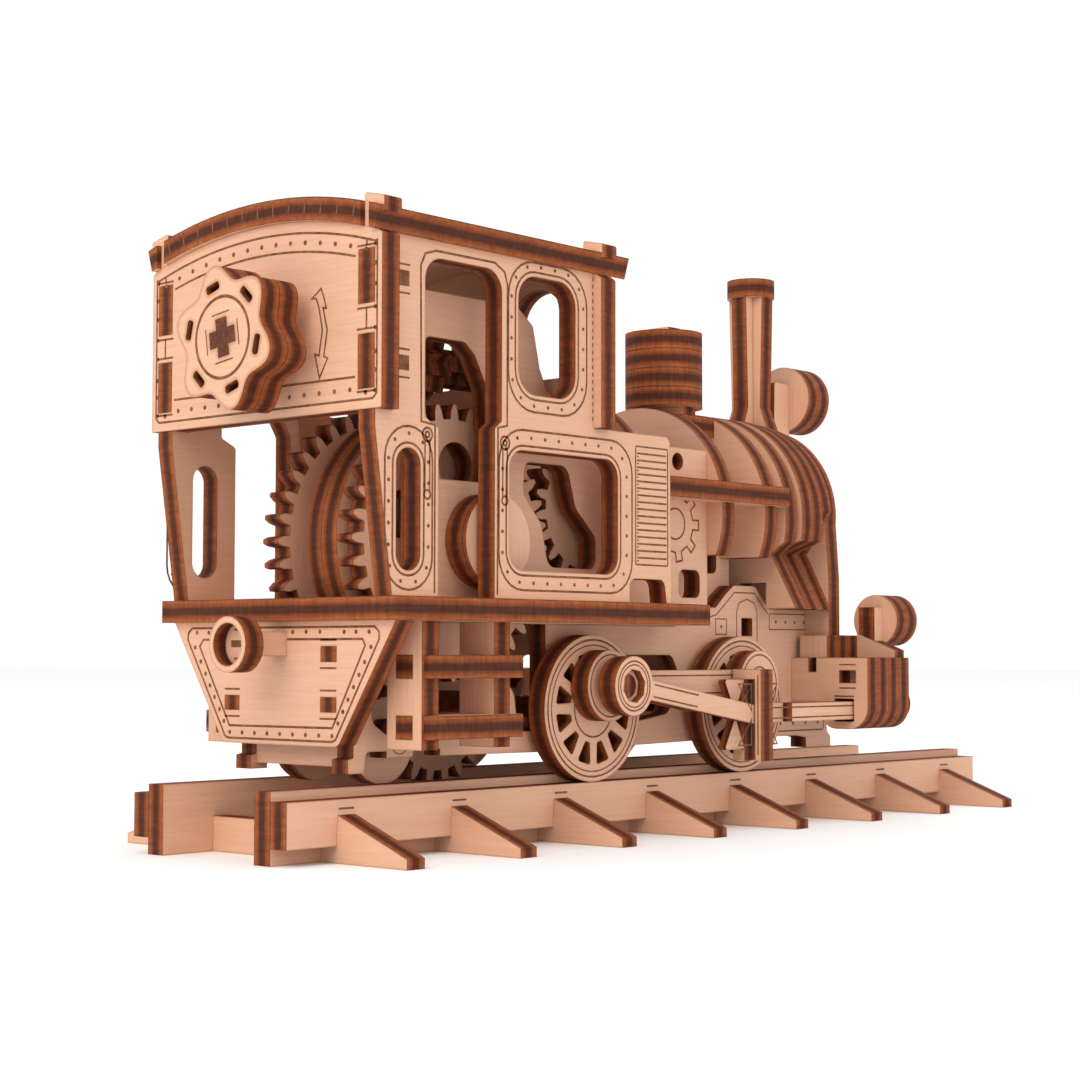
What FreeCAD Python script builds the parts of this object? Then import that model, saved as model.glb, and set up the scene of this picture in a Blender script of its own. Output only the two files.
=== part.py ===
import FreeCAD, Part
import math, os
from FreeCAD import Vector as V

# ---------------------------------------------------------------- driving sizes (mm)
T = 3.0                 # plywood sheet thickness
XC = 71.65              # layout station that lies over the origin
TRACK_X0, TRACK_X1 = -8.3, 152.3
SLEEPER_N, SLEEPER_PITCH = 8, 20.14
SLEEPER_HALF = 27.4     # half length of a sleeper
RAIL_Y = 9.02           # inner face of the tall rail ply
RAIL_H = 9.08           # tall rail ply height
LEDGE_Z0, LEDGE_Z1 = 2.13, 7.88     # low outer rail ply, carries the wheels
FP_Z = 30.12            # underside of the footplate
FP_HALF = 22.96         # half width of the footplate
CAB_HALF = 21.49        # outer face of the cab sides
CAB_Z = 78.5            # top of the cab sides
FRAME_Y = 8.0           # inner face of the main frames
PLATE_Y = 11.0          # inner face of the gear plates
WHEEL_R = 10.35
WHEEL_Y = 12.2          # inner face of a driving wheel
AX_R = (48.5, 18.30)    # rear axle x, z
AX_F = (83.7, 18.30)    # front axle x, z
CRANK = 3.2             # crank pin throw
SHAFT_R = 1.5
BORE_R = 1.56
MAIN = (26.0, 41.0)     # main shaft x, z
IDLER = (33.53, 19.30)  # idler shaft x, z
THIRD = (53.39, 46.82)  # front gear shaft x, z
MOD = 1.0               # gear module
N_MAIN, N_PIN, N_IDLER, N_AXLE, N_FRONT = 36, 10, 22, 8, 20
KNOB_Y, KNOB_Z = -2.85, 65.8
BOIL_Z, BOIL_R = 47.5, 17.0
CYL_Z = 25.4            # top of the cylinder plies
GUIDE = (14.6, 14.4)    # guide roller axle x, z
GUIDE_R = 5.6

os.makedirs("parts", exist_ok=True)
NODES = {}
NODES_RAW = {}


# ---------------------------------------------------------------- profile helpers
def wire(pts):
    """Closed outline in (u, v). Each point is (u, v) or (u, v, corner radius)."""
    n = len(pts)
    segs = []
    for i in range(n):
        p = pts[i]
        r = p[2] if len(p) > 2 else 0.0
        b = V(p[0], p[1], 0)
        a = V(pts[i - 1][0], pts[i - 1][1], 0)
        c = V(pts[(i + 1) % n][0], pts[(i + 1) % n][1], 0)
        if r <= 0:
            segs.append((b, None, b))
            continue
        d1 = (a - b).normalize()
        d2 = (c - b).normalize()
        ang = d1.getAngle(d2)
        if ang > math.pi - 0.02:
            segs.append((b, None, b))
            continue
        t = r / math.tan(ang / 2)
        s, e = b + d1 * t, b + d2 * t
        bis = (d1 + d2).normalize()
        mid = b + bis * (r / math.sin(ang / 2) - r)
        segs.append((s, mid, e))
    edges = []
    for i in range(n):
        s, m, e = segs[i]
        if m is not None:
            edges.append(Part.Arc(s, m, e).toShape())
        ns = segs[(i + 1) % n][0]
        if (ns - e).Length > 1e-6:
            edges.append(Part.LineSegment(e, ns).toShape())
    return Part.Wire(edges)


def circ(u, v, r):
    return Part.Wire([Part.Circle(V(u, v, 0), V(0, 0, 1), r).toShape()])


def rect(u0, v0, u1, v1, r=0.0):
    return wire([(u0, v0, r), (u1, v0, r), (u1, v1, r), (u0, v1, r)])


def slab(outer, holes, t):
    s = Part.Face(outer).extrude(V(0, 0, t))
    if holes:
        cut = [Part.Face(h).extrude(V(0, 0, t + 2)) for h in holes]
        for c in cut:
            c.translate(V(0, 0, -1))
            s = s.cut(c)
    return s


def place(s, m):
    return s.transformed(m, True)


# (u, v, w) -> sheet planes; w is the sheet's own normal
M_XY = FreeCAD.Matrix(1, 0, 0, 0, 0, 1, 0, 0, 0, 0, 1, 0, 0, 0, 0, 1)
M_YZ = FreeCAD.Matrix(0, 0, 1, 0, 1, 0, 0, 0, 0, 1, 0, 0, 0, 0, 0, 1)
M_XZ = FreeCAD.Matrix(1, 0, 0, 0, 0, 0, -1, 0, 0, 1, 0, 0, 0, 0, 0, 1)


def xy(z0, t, outer, holes=()):
    s = place(slab(outer, holes, t), M_XY)
    s.translate(V(0, 0, z0))
    return s


def yz(x0, t, outer, holes=()):
    s = place(slab(outer, holes, t), M_YZ)
    s.translate(V(x0, 0, 0))
    return s


def xz(y0, t, outer, holes=()):
    """Sheet between y0 and y0 + t."""
    s = place(slab(outer, holes, t), M_XZ)
    s.translate(V(0, y0 + t, 0))
    return s


def box(x0, x1, y0, y1, z0, z1):
    return Part.makeBox(x1 - x0, y1 - y0, z1 - z0, V(x0, y0, z0))


def rod_y(x, z, r, y0, y1):
    return Part.makeCylinder(r, y1 - y0, V(x, y0, z), V(0, 1, 0))


def rod_x(y, z, r, x0, x1):
    return Part.makeCylinder(r, x1 - x0, V(x0, y, z), V(1, 0, 0))


def mirror(s):
    return s.mirror(V(0, 0, 0), V(0, 1, 0))


def fuse(*ss):
    s = ss[0]
    for o in ss[1:]:
        s = s.fuse(o)
    return s.removeSplitter()


def node(name, *solids):
    out = []
    for s in solids:
        out += s.Solids if s.ShapeType != "Solid" else [s]
    out = [o.copy() for o in out]
    for o in out:
        o.translate(V(-XC, 0, 0))
        if not o.isValid() or o.Volume <= 0:
            raise ValueError("bad solid in " + name)
    NODES[name] = Part.makeCompound(out) if len(out) > 1 else out[0]


def gear_wire(cx, cz, n, phase, m=MOD):
    """Outline of a spur gear with straight-flanked teeth; phase is a tooth's angle (rad, X towards Z)."""
    r = m * n / 2.0
    rr, ra = r - 1.2 * m, r + 0.85 * m
    p = 2 * math.pi / n
    pts = []
    for k in range(n):
        a = phase + k * p
        for rad, da in ((rr, -0.27 * p), (r, -0.205 * p), (ra, -0.085 * p),
                        (ra, 0.085 * p), (r, 0.205 * p), (rr, 0.27 * p)):
            pts.append((cx + rad * math.cos(a + da), cz + rad * math.sin(a + da)))
    return wire(pts)


def mesh_phase(a, b, n_a, ph_a, n_b):
    """Phase of gear b so that one of its gaps faces the tooth of gear a nearest the line of centres."""
    th = math.atan2(b[1] - a[1], b[0] - a[0])
    pa, pb = 2 * math.pi / n_a, 2 * math.pi / n_b
    k = round((th - ph_a) / pa)
    off = (th - (ph_a + k * pa))          # how far past the tooth the line of centres lies
    return th + math.pi + pb / 2 + off * n_a / n_b


# ---------------------------------------------------------------- track
slots = [i * SLEEPER_PITCH for i in range(SLEEPER_N)]
def rail(y0, z0, z1):
    pts = [(TRACK_X0, z0)]
    for x in slots:
        pts += [(x, z0), (x, 4.6), (x + T, 4.6), (x + T, z0)]
    pts += [(TRACK_X1, z0), (TRACK_X1, z1), (TRACK_X0, z1)]
    return xz(y0, T, wire(pts))
inner = rail(RAIL_Y, 0.0, RAIL_H)
outer = rail(RAIL_Y + T, LEDGE_Z0, LEDGE_Z1)
node("track_rail_guides", inner, mirror(inner))
node("track_rail_ledges", outer, mirror(outer))
sl = []
yo = RAIL_Y + 2 * T
for x in slots:
    sl.append(yz(x, T, wire([(-SLEEPER_HALF, 0), (SLEEPER_HALF, 0), (SLEEPER_HALF, 1.3), (yo, 5.98), (yo, 4.6),
                             (-yo, 4.6), (-yo, 5.98), (-SLEEPER_HALF, 1.3)])))
node("track_sleepers", *sl)

# ---------------------------------------------------------------- main frames and footplate
FRAME_X0, FRAME_X1 = 6.35, 113.6
frame_pts = [
    (3.35, 18.46), (3.35, 20.42), (6.35, 20.42), (6.35, 24.88), (3.35, 24.88), (3.35, 26.91), (6.35, 26.91),
    (6.35, 30.12), (9.6, 30.12), (9.6, 17.0, 1.5), (12.5, 15.2, 1.5), (41.0, 15.2, 1.5), (43.0, 17.5, 1.5), (43.0, 30.12),
    (72.5, 30.12, 1.0), (75.5, 33.12, 1.5), (82.5, 33.12, 1.0), (85.0, 35.2, 2.0), (87.2, 36.7, 1.5), (92.8, 36.7, 1.5), (94.8, 34.8, 2.0), (96.5, 33.12, 0.6),
    (112.6, 33.12), (112.6, 13.4, 1.0), (113.6, 12.4), (113.6, 10.8), (106.6, 10.8), (106.6, 12.4), (104.0, 12.8, 1.0),
    (80.0, 12.8), (42.0, 12.2, 3.0), (22.0, 12.4), (22.0, 13.3), (8.6, 13.3, 0.5), (8.2, 10.6), (5.4, 10.6), (5.4, 12.4),
    (6.35, 12.6), (6.35, 18.46)]
win = [wire([(57.5, 20.5, 1.5), (59.0, 25.8, 1.5), (71.5, 25.8, 1.5), (73.8, 22.0, 1.5), (70.5, 17.0, 1.5), (59.5, 15.5, 1.5)])]
frame_holes = [circ(AX_R[0], AX_R[1], BORE_R), circ(AX_F[0], AX_F[1], BORE_R), circ(IDLER[0], IDLER[1] - 0, BORE_R)]
# bearing lugs for the idler stand up from the low bar
def frame():
    s = slab(wire(frame_pts), [], T)
    lug = slab(wire([(29.6, 14.0), (37.4, 14.0), (36.6, 20.5, 2.6), (33.5, 23.4, 2.6), (30.4, 20.5, 2.6)]), [], T)
    lug2 = slab(wire([(12.2, 12.4), (17.0, 12.4), (17.0, 17.4, 1.5), (12.2, 17.4, 1.5)]), [], T)
    s = s.fuse(lug).fuse(lug2).removeSplitter()
    for h in frame_holes + win + [rect(89.2, 28.8, 92.0, 31.6),
                                  circ(GUIDE[0], GUIDE[1], BORE_R)]:
        c = Part.Face(h).extrude(V(0, 0, T + 2))
        c.translate(V(0, 0, -1))
        s = s.cut(c)
    return s


fr = place(frame(), M_XZ)
fr.translate(V(0, FRAME_Y + T, 0))
node("main_frames", fr, mirror(fr))

# cross pieces that hold the two frames apart
sp = [box(6.4, 8.15, -FRAME_Y, FRAME_Y, 11.4, 14.4),
      box(62.0, 65.0, -FRAME_Y, FRAME_Y, 26.6, 29.8),
      box(73.5, 76.5, -FRAME_Y, FRAME_Y, 26.0, 29.8),
      box(97.0, 100.0, -FRAME_Y, FRAME_Y, 15.5, 27.5)]
node("frame_spacers", *sp)

# footplate with the long slot that the gears pass through
fp = xy(FP_Z, T, wire([(1.99, -FP_HALF), (59.1, -FP_HALF), (66.9, -21.9), (68.2, -20.4), (68.2, 20.4), (66.9, 21.9),
                       (59.1, FP_HALF), (1.99, FP_HALF)]),
        [rect(5.9, -10.4, 47.2, 10.4)])
node("footplate", fp)

# ---------------------------------------------------------------- lower rear panel and tail lamp
slot = lambda y, z0, z1: rect(y - 1.5, z0, y + 1.5, z1)
rp = yz(3.35, T, wire([(-21.8, 30.12), (21.8, 30.12), (11.3, 14.1, 1.2), (-11.3, 14.1, 1.2)]),
        [slot(9.5, 18.46, 20.42), slot(-9.5, 18.46, 20.42), slot(9.5, 24.88, 26.91), slot(-9.5, 24.88, 26.91)])
node("rear_lower_panel", rp)
node("tail_lamp_bracket", xz(-1.5, T, rect(-2.4, 25.6, 3.35, 28.8)))
node("tail_lamp_ring", rod_x(0, 27.1, 3.6, -5.4, -2.4).cut(rod_x(0, 27.1, 2.75, -6.0, -3.4)))

# ---------------------------------------------------------------- footsteps
posts = []
for x0 in (8.7, 21.9):
    posts.append(yz(x0, T, rect(-21.0, 13.8, -14.7, FP_Z), [slot(-17.85, 22.8, 25.8), slot(-17.85, 15.1, 18.1)]))
sb = []
for z0 in (22.8, 15.1):
    b = box(9.1, 26.4, -22.0, -14.9, z0, z0 + T)
    for x0 in (8.7, 21.9):
        # the board is notched round each post and keeps a tab through the post's slot
        b = b.cut(box(x0, x0 + T, -21.0, -19.35, z0 - 1, z0 + T + 1))
        b = b.cut(box(x0, x0 + T, -16.35, -14.7, z0 - 1, z0 + T + 1))
    b = b.fuse(box(8.7, 9.1, -19.35, -16.35, z0, z0 + T)).removeSplitter()
    sb.append(b)
node("step_posts", *(posts + [mirror(p) for p in posts]))
node("step_boards", *(sb + [mirror(p) for p in sb]))

# ---------------------------------------------------------------- cab
ROOF_R, ROOF_C = 76.3, 5.3
def arch_z(y, extra=0.0):
    return ROOF_C + math.sqrt((ROOF_R + extra) ** 2 - y * y)
def arch_edges(y0, y1, extra=0.0, n=0):
    a, m, b = V(y0, arch_z(y0, extra), 0), V((y0 + y1) / 2, arch_z((y0 + y1) / 2, extra), 0), V(y1, arch_z(y1, extra), 0)
    return Part.Arc(a, m, b).toShape()
def line(u0, v0, u1, v1):
    return Part.LineSegment(V(u0, v0, 0), V(u1, v1, 0)).toShape()
hw = 22.76
o = Part.Wire([line(-hw, 56.17, hw, 56.17), line(hw, 56.17, hw, 77.9), line(hw, 77.9, 22.0, arch_z(22.0)),
               arch_edges(22.0, -22.0), line(-22.0, arch_z(22.0), -hw, 77.9), line(-hw, 77.9, -hw, 56.17)])
cs = lambda s, z0, z1: rect(min(s * 18.49, s * 21.49), z0, max(s * 18.49, s * 21.49), z1)
NODES_RAW["cab_rear_panel"] = yz(-0.23, T, o, [cs(1, 69.32, 76.21), cs(-1, 69.32, 76.21), cs(1, 58.69, 65.58), cs(-1, 58.69, 65.58),
                                        circ(KNOB_Y, KNOB_Z, 3.0)])
node("cab_rear_panel", NODES_RAW["cab_rear_panel"])
side_o = wire([(2.92, 33.12), (11.0, 33.12), (11.0, 54.6, 0.6), (8.5, 55.8, 0.4), (8.5, 76.3, 3.0), (22.7, 76.3, 3.0),
               (22.7, 56.4, 0.4), (21.4, 55.4, 0.6), (21.4, 33.12), (49.0, 33.12), (49.0, 36.5, 1.2), (56.7, 36.5, 1.2),
               (57.2, 33.12), (58.4, 33.12), (58.0, 57.0, 1.0), (41.22, 57.0), (41.22, 60.0), (44.22, 60.0), (44.22, 66.0),
               (41.22, 66.0), (41.22, 70.0), (44.22, 70.0), (44.22, 75.5), (41.22, 75.5), (41.22, CAB_Z),
               (2.77, CAB_Z), (2.77, 76.21), (-0.23, 76.21), (-0.23, 69.32), (2.77, 69.32), (2.77, 65.58), (-0.23, 65.58),
               (-0.23, 58.69), (2.77, 58.69), (2.77, 56.17), (-0.1, 56.17), (-0.1, 54.0, 0.5)])
side = xz(CAB_HALF - T, T, side_o,
          [rect(25.9, 60.4, 37.4, 76.4, 3.4), rect(24.2, 36.9, 46.4, 52.9, 2.6), rect(3.55, 36.3, 7.8, 51.7, 2.1)])
node("cab_side_left", side)
node("cab_side_right", mirror(side))

hf = 22.91
o = Part.Wire([line(-hf, 57.0, hf, 57.0), line(hf, 57.0, hf, 77.7), line(hf, 77.7, 22.0, arch_z(22.0)),
               arch_edges(22.0, -22.0), line(-22.0, arch_z(22.0), -hf, 77.7), line(-hf, 77.7, -hf, 57.0)])
def arched_window(y0, y1, z0, z1):
    return wire([(y0, z0, 0.8), (y1, z0, 0.8), (y1, z1, (y1 - y0) / 2 - 0.05), (y0, z1, (y1 - y0) / 2 - 0.05)])
front = yz(41.22, T, o, [cs(1, 60.0, 66.0), cs(-1, 60.0, 66.0), cs(1, 70.0, 75.5), cs(-1, 70.0, 75.5),
                         arched_window(6.0, 16.0, 64.5, 77.3), arched_window(-16.0, -6.0, 64.5, 77.3),
                         circ(KNOB_Y, KNOB_Z, 1.56)])
node("cab_front_wall", front)
NODES_RAW["cab_front_wall"] = front

rx0, rx1, ry = -1.0, 47.0, 22.2
prof = Part.Wire([arch_edges(-ry, ry, 0.02), line(ry, arch_z(ry, 0.02), ry + 0.86, arch_z(ry, 0.02) + 2.88),
                  Part.Arc(V(ry + 0.86, arch_z(ry, 0.02) + 2.88, 0), V(0, ROOF_C + ROOF_R + 3.02, 0),
                           V(-ry - 0.86, arch_z(ry, 0.02) + 2.88, 0)).toShape(),
                  line(-ry - 0.86, arch_z(ry, 0.02) + 2.88, -ry, arch_z(ry, 0.02))])
roof = yz(rx0, rx1 - rx0, prof)
hooks = []
for s in (1, -1):
    ya, yb = sorted((s * 19.6, s * 21.1))
    roof = roof.cut(box(-1.6, 2.77, ya, yb, 78.0, 84.0)).cut(box(41.22, 44.22, ya, yb, 78.0, 84.0))
    u = [(s * 19.6, 78.4), (s * 21.1, 78.4), (s * 21.1, 81.0), (s * 23.1, 80.6), (s * 23.1, 82.5, 0.4), (s * 19.6, 83.3, 0.4)]
    for x0 in (-0.23, 41.22):
        hooks.append(yz(x0, T, wire(u if s > 0 else u[::-1])))
clips = []
for h in hooks:
    for o in (roof, NODES_RAW["cab_rear_panel"], NODES_RAW["cab_front_wall"], side, mirror(side)):
        h = h.cut(o)
    clips.append(max(h.Solids, key=lambda q: q.Volume))
node("roof_sheet", roof)
node("roof_clips", *clips)

# ---------------------------------------------------------------- gear plates
gp_o = wire([(14.5, 33.12), (14.5, 56.0, 1.0), (12.0, 60.0, 1.0), (12.0, 73.8, 1.0), (33.8, 73.8, 1.0), (37.0, 71.4, 1.0), (38.4, 65.6, 1.5),
             (39.8, 62.9, 1.5), (41.2, 61.9), (41.2, 56.9), (76.5, 56.9), (76.5, 33.12)])
gp = xz(PLATE_Y, T, gp_o, [circ(MAIN[0], MAIN[1], BORE_R), circ(THIRD[0], THIRD[1], BORE_R), circ(69.3, 54.8, 1.3),
                           wire([(16.0, 58.5, 1.0), (16.0, 67.7, 0.8), (23.4, 67.7, 1.5), (25.3, 66.2, 1.0), (27.9, 61.6, 1.5),
                                 (28.5, 55.5, 1.5), (28.0, 49.0, 1.5), (17.0, 49.0, 1.5)]),
                           wire([(35.4, 52.4, 1.2), (44.2, 52.4, 2.0), (46.0, 46.5, 3.0), (50.3, 42.6, 2.0), (50.3, 38.0, 1.5),
                                 (40.2, 38.0, 1.8), (38.8, 44.0, 3.0), (35.0, 48.0, 2.0)]),
                           rect(69.5, 34.4, 74.6, 38.6, 1.2), rect(62.6, 34.8, 66.0, 38.6, 1.0)])
ip = xz(5.0, T, rect(66.0, 33.12, 90.0, 52.0), [rect(83.2, 38.6, 86.6, 44.0, 1.0), rect(69.0, 36.0, 73.5, 44.0, 1.2)])
node("gear_plates", gp, mirror(gp), ip, mirror(ip))

# ---------------------------------------------------------------- boiler
def hoop(x0, zb):
    """Boiler rib that stops above the frames."""
    yk = math.sqrt(BOIL_R ** 2 - (BOIL_Z - zb) ** 2)
    w = Part.Wire([Part.Arc(V(yk, zb, 0), V(0, BOIL_Z + BOIL_R, 0), V(-yk, zb, 0)).toShape(), line(-yk, zb, yk, zb)])
    return yz(x0, T, w).cut(yz(x0 - 1, T + 2, wire([(-8.0, 20), (8.0, 20), (8.0, 52.5, 0.4), (-8.0, 52.5, 0.4)])))
def flared(x0, r, z_leave, waist, wz, base, zb=33.12):
    """Ring that narrows under the boiler and spreads again at its foot."""
    yk = math.sqrt(r ** 2 - (BOIL_Z - z_leave) ** 2)
    return yz(x0, T, Part.Wire([
        Part.Arc(V(yk, z_leave, 0), V(0, BOIL_Z + r, 0), V(-yk, z_leave, 0)).toShape(),
        line(-yk, z_leave, -waist, wz), line(-waist, wz, -base, zb), line(-base, zb, base, zb),
        line(base, zb, waist, wz), line(waist, wz, yk, z_leave)]))
seg = math.sqrt(BOIL_R ** 2 - (57.0 - BOIL_Z) ** 2)
arch = Part.Wire([line(-seg, 57.0, seg, 57.0), Part.Arc(V(seg, 57.0, 0), V(0, BOIL_Z + BOIL_R, 0), V(-seg, 57.0, 0)).toShape()])
node("boiler_arch", yz(57.2, T, arch).cut(yz(56, 6, wire([(-10.3, 50), (10.3, 50), (10.3, 58.8, 1), (-10.3, 58.8, 1)]))))
third = flared(93.0, BOIL_R, 43.5, 14.0, 41.7, 18.7)
for sg in (1, -1):
    ya, yb = sorted((sg * FRAME_Y, sg * 13.0))
    third = third.cut(box(92, 97, ya, yb, 20, 37.2))
node("boiler_ribs", hoop(76.5, 41.0), hoop(87.5, 41.0), third)
node("smokebox_rings", flared(97.4, BOIL_R, 44.0, 10.9, 42.0, 16.0), flared(100.4, 16.8, 44.0, 11.2, 42.1, 16.1),
     flared(103.4, 16.5, 49.0, 11.5, 42.2, 16.2))
fpz = 29.0
frp = Part.Wire([Part.Arc(V(15.2, 47.0, 0), V(0, 63.6, 0), V(-15.2, 47.0, 0)).toShape(), line(-15.2, 47.0, -15.8, 38.0),
                 line(-15.8, 38.0, -15.8, fpz), line(-15.8, fpz, 15.8, fpz), line(15.8, fpz, 15.8, 38.0), line(15.8, 38.0, 15.2, 47.0)])
fpl = yz(106.4, T, frp)
for sg in (1, -1):
    ya, yb = sorted((sg * FRAME_Y, sg * (FRAME_Y + T)))
    fpl = fpl.cut(box(106, 112, ya, yb, 20, 33.2))
node("smokebox_front", fpl)
sad = []
for sg in (1, -1):
    ya, yb = sorted((sg * 12.0, sg * 17.3))
    sad.append(box(103.6, 112.2, ya, yb, CYL_Z, fpz))
node("smokebox_saddles", *sad)
b = xy(49.0, T, rect(58.4, -18.2, 92.2, -PLATE_Y - T))
for x0 in (76.5, 87.5):
    b = b.cut(yz(x0, T, circ(0, BOIL_Z, BOIL_R)))
hr = [b, mirror(b)]
node("handrail_boards", *hr)

# ---------------------------------------------------------------- dome, chimney, lamps
DX = 83.5
seat = box(79.5, 87.5, -7.0, 7.0, 60.4, 63.4)
node("dome_seat", seat, yz(DX - 1.5, T, rect(-5.2, 63.4, 5.2, 65.0)))
node("dome_discs", *([Part.makeCylinder(6.15, T, V(DX, 0, 65.0 + k * T), V(0, 0, 1)) for k in range(4)]
                     + [box(DX - 1.5, DX + 1.5, -2.2, 2.2, 77.0, 77.9)]))

CHX = 107.0
def chim(w_top, w_bot, w_base):
    return wire([(-w_base, 63.2), (w_base, 63.2), (w_bot, 67.0), (w_top, 85.6), (-w_top, 85.6), (-w_bot, 67.0)])
arm_x = slab(chim(3.4, 2.9, 4.4), [], T)
cy = arm_x.transformed(M_YZ, True); cy.translate(V(CHX - 1.5, 0, 0))
cx_ = arm_x.transformed(M_XZ, True); cx_.translate(V(CHX, 1.5, 0))
top_y = cy.cut(box(CHX - 9, CHX + 9, -1.5, 1.5, 60, 74.5))
top_x = cx_.cut(box(CHX - 1.5, CHX + 1.5, -9, 9, 74.5, 90))
foot = fuse(yz(97.4, T, circ(0, BOIL_Z, BOIL_R)), yz(100.4, T, circ(0, BOIL_Z, 16.8)), yz(103.4, T, circ(0, BOIL_Z, 16.5)))
foot2 = yz(106.4, T, frp)
top_y = top_y.cut(foot).cut(foot2)
top_x = top_x.cut(foot).cut(foot2)
node("chimney_plies", max(top_y.Solids, key=lambda q: q.Volume), max(top_x.Solids, key=lambda q: q.Volume))
node("chimney_cap", Part.makeCylinder(3.95, T, V(CHX, 0, 85.6), V(0, 0, 1)).cut(Part.makeCylinder(2.4, 1.4, V(CHX, 0, 87.3), V(0, 0, 1))))

head_arm = xz(-1.5, T, wire([(109.4, 52.0), (115.8, 60.0, 1.0), (115.8, 72.0), (111.6, 72.0, 0.5), (111.4, 62.5, 1.0), (109.4, 60.0)]))
node("head_lamp", rod_x(0, 69.4, 5.6, 115.8, 121.8))
la, lb, ll = [], [], []
for sg in (1, -1):
    ya, yb = sorted((sg * 17.7, sg * 20.7))
    u = [(sg * 17.3, CYL_Z), (sg * 24.6, CYL_Z), (sg * 24.6, 26.6), (sg * 17.3, 29.4)]
    br = yz(112.2, 2.6, wire(u if sg > 0 else u[::-1]))
    lb.append(br)
    la.append(box(112.2, 114.8, ya, yb, CYL_Z, 33.6).cut(br))
    ll.append(rod_x(sg * 19.2, 31.5, 4.15, 114.8, 120.8))
node("lamp_arms", head_arm, *la)
node("front_lamp_brackets", *[s.copy() for s in lb])
node("front_lamps", *ll)

# ---------------------------------------------------------------- cylinders
def cyl_profile(s, y_in):
    pts = [(s * y_in, CYL_Z), (s * 25.6, CYL_Z), (s * 25.6, 14.1, 3.6), (s * 17.2, 14.1, 3.6)]
    if y_in < 16:
        pts = [(s * y_in, CYL_Z), (s * 25.6, CYL_Z), (s * 25.6, 14.1, 3.6), (s * 17.2, 14.1, 3.0), (s * 16.4, 18.4, 1.0), (s * y_in, 18.4)]
    return wire(pts if s < 0 else pts[::-1])
ROD_IN, ROD_OUT = 19.7, 22.7
crp, cpl, chd = [], [], []
for sg in (1, -1):
    hole = [rect(min(sg * 19.4, sg * 23.0), 15.3, max(sg * 19.4, sg * 23.0), 18.9)]
    sq = rect(min(sg * 20.3, sg * 23.4), 21.4, max(sg * 20.3, sg * 23.4), 23.4)
    notch = rect(min(sg * 14.4, sg * 15.9), 23.1, max(sg * 14.4, sg * 15.9), 26.0)
    crp.append(yz(102.6, T, cyl_profile(sg, 11.0), hole + [sq, notch]))
    for k in range(1, 4):
        cpl.append(yz(102.6 + k * T, T, cyl_profile(sg, 17.2), hole if k < 3 else []))
    chd.append(rod_x(sg * 21.4, 18.0, 3.2, 114.6, 116.6))
node("cylinder_plies", *(crp + cpl))
node("cylinder_heads", *chd)

# ---------------------------------------------------------------- driving wheels
def spoked(x, z):
    s = slab(circ(x, z, WHEEL_R), [circ(x, z, SHAFT_R)], T)
    for k in range(12):
        a = math.radians(15 + 30 * k)
        h = math.radians(9.0)
        p = []
        for r, d in ((4.9, -h * 0.62), (4.9, h * 0.62), (8.0, h * 1.12), (8.0, -h * 1.12)):
            p.append((x + r * math.cos(a + d), z + r * math.sin(a + d), 0.35))
        c = Part.Face(wire(p)).extrude(V(0, 0, T + 2))
        c.translate(V(0, 0, -1))
        s = s.cut(c)
    w = place(s, M_XZ)
    w.translate(V(0, WHEEL_Y + T, 0))
    return w
for nm, ax, reach in (("rear", AX_R, 21.7), ("front", AX_F, 18.6)):
    w = spoked(*ax)
    pin = (ax[0], ax[1] + CRANK)
    # crank pins are pressed into the wheels
    hole = rod_y(pin[0], pin[1], 1.6, 0, 30)
    w = w.cut(hole)
    node(nm + "_wheels", w, mirror(w))
    p = rod_y(pin[0], pin[1], 1.6, WHEEL_Y, reach)
    if nm == "rear":
        p = p.fuse(rod_y(pin[0], pin[1], 2.6, 18.7, 19.4)).removeSplitter()
    node(nm + "_crank_pins", p, mirror(p))
    shaft = rod_y(ax[0], ax[1], SHAFT_R, -WHEEL_Y - T, WHEEL_Y + T)
    node(nm + "_axle", shaft)

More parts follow.
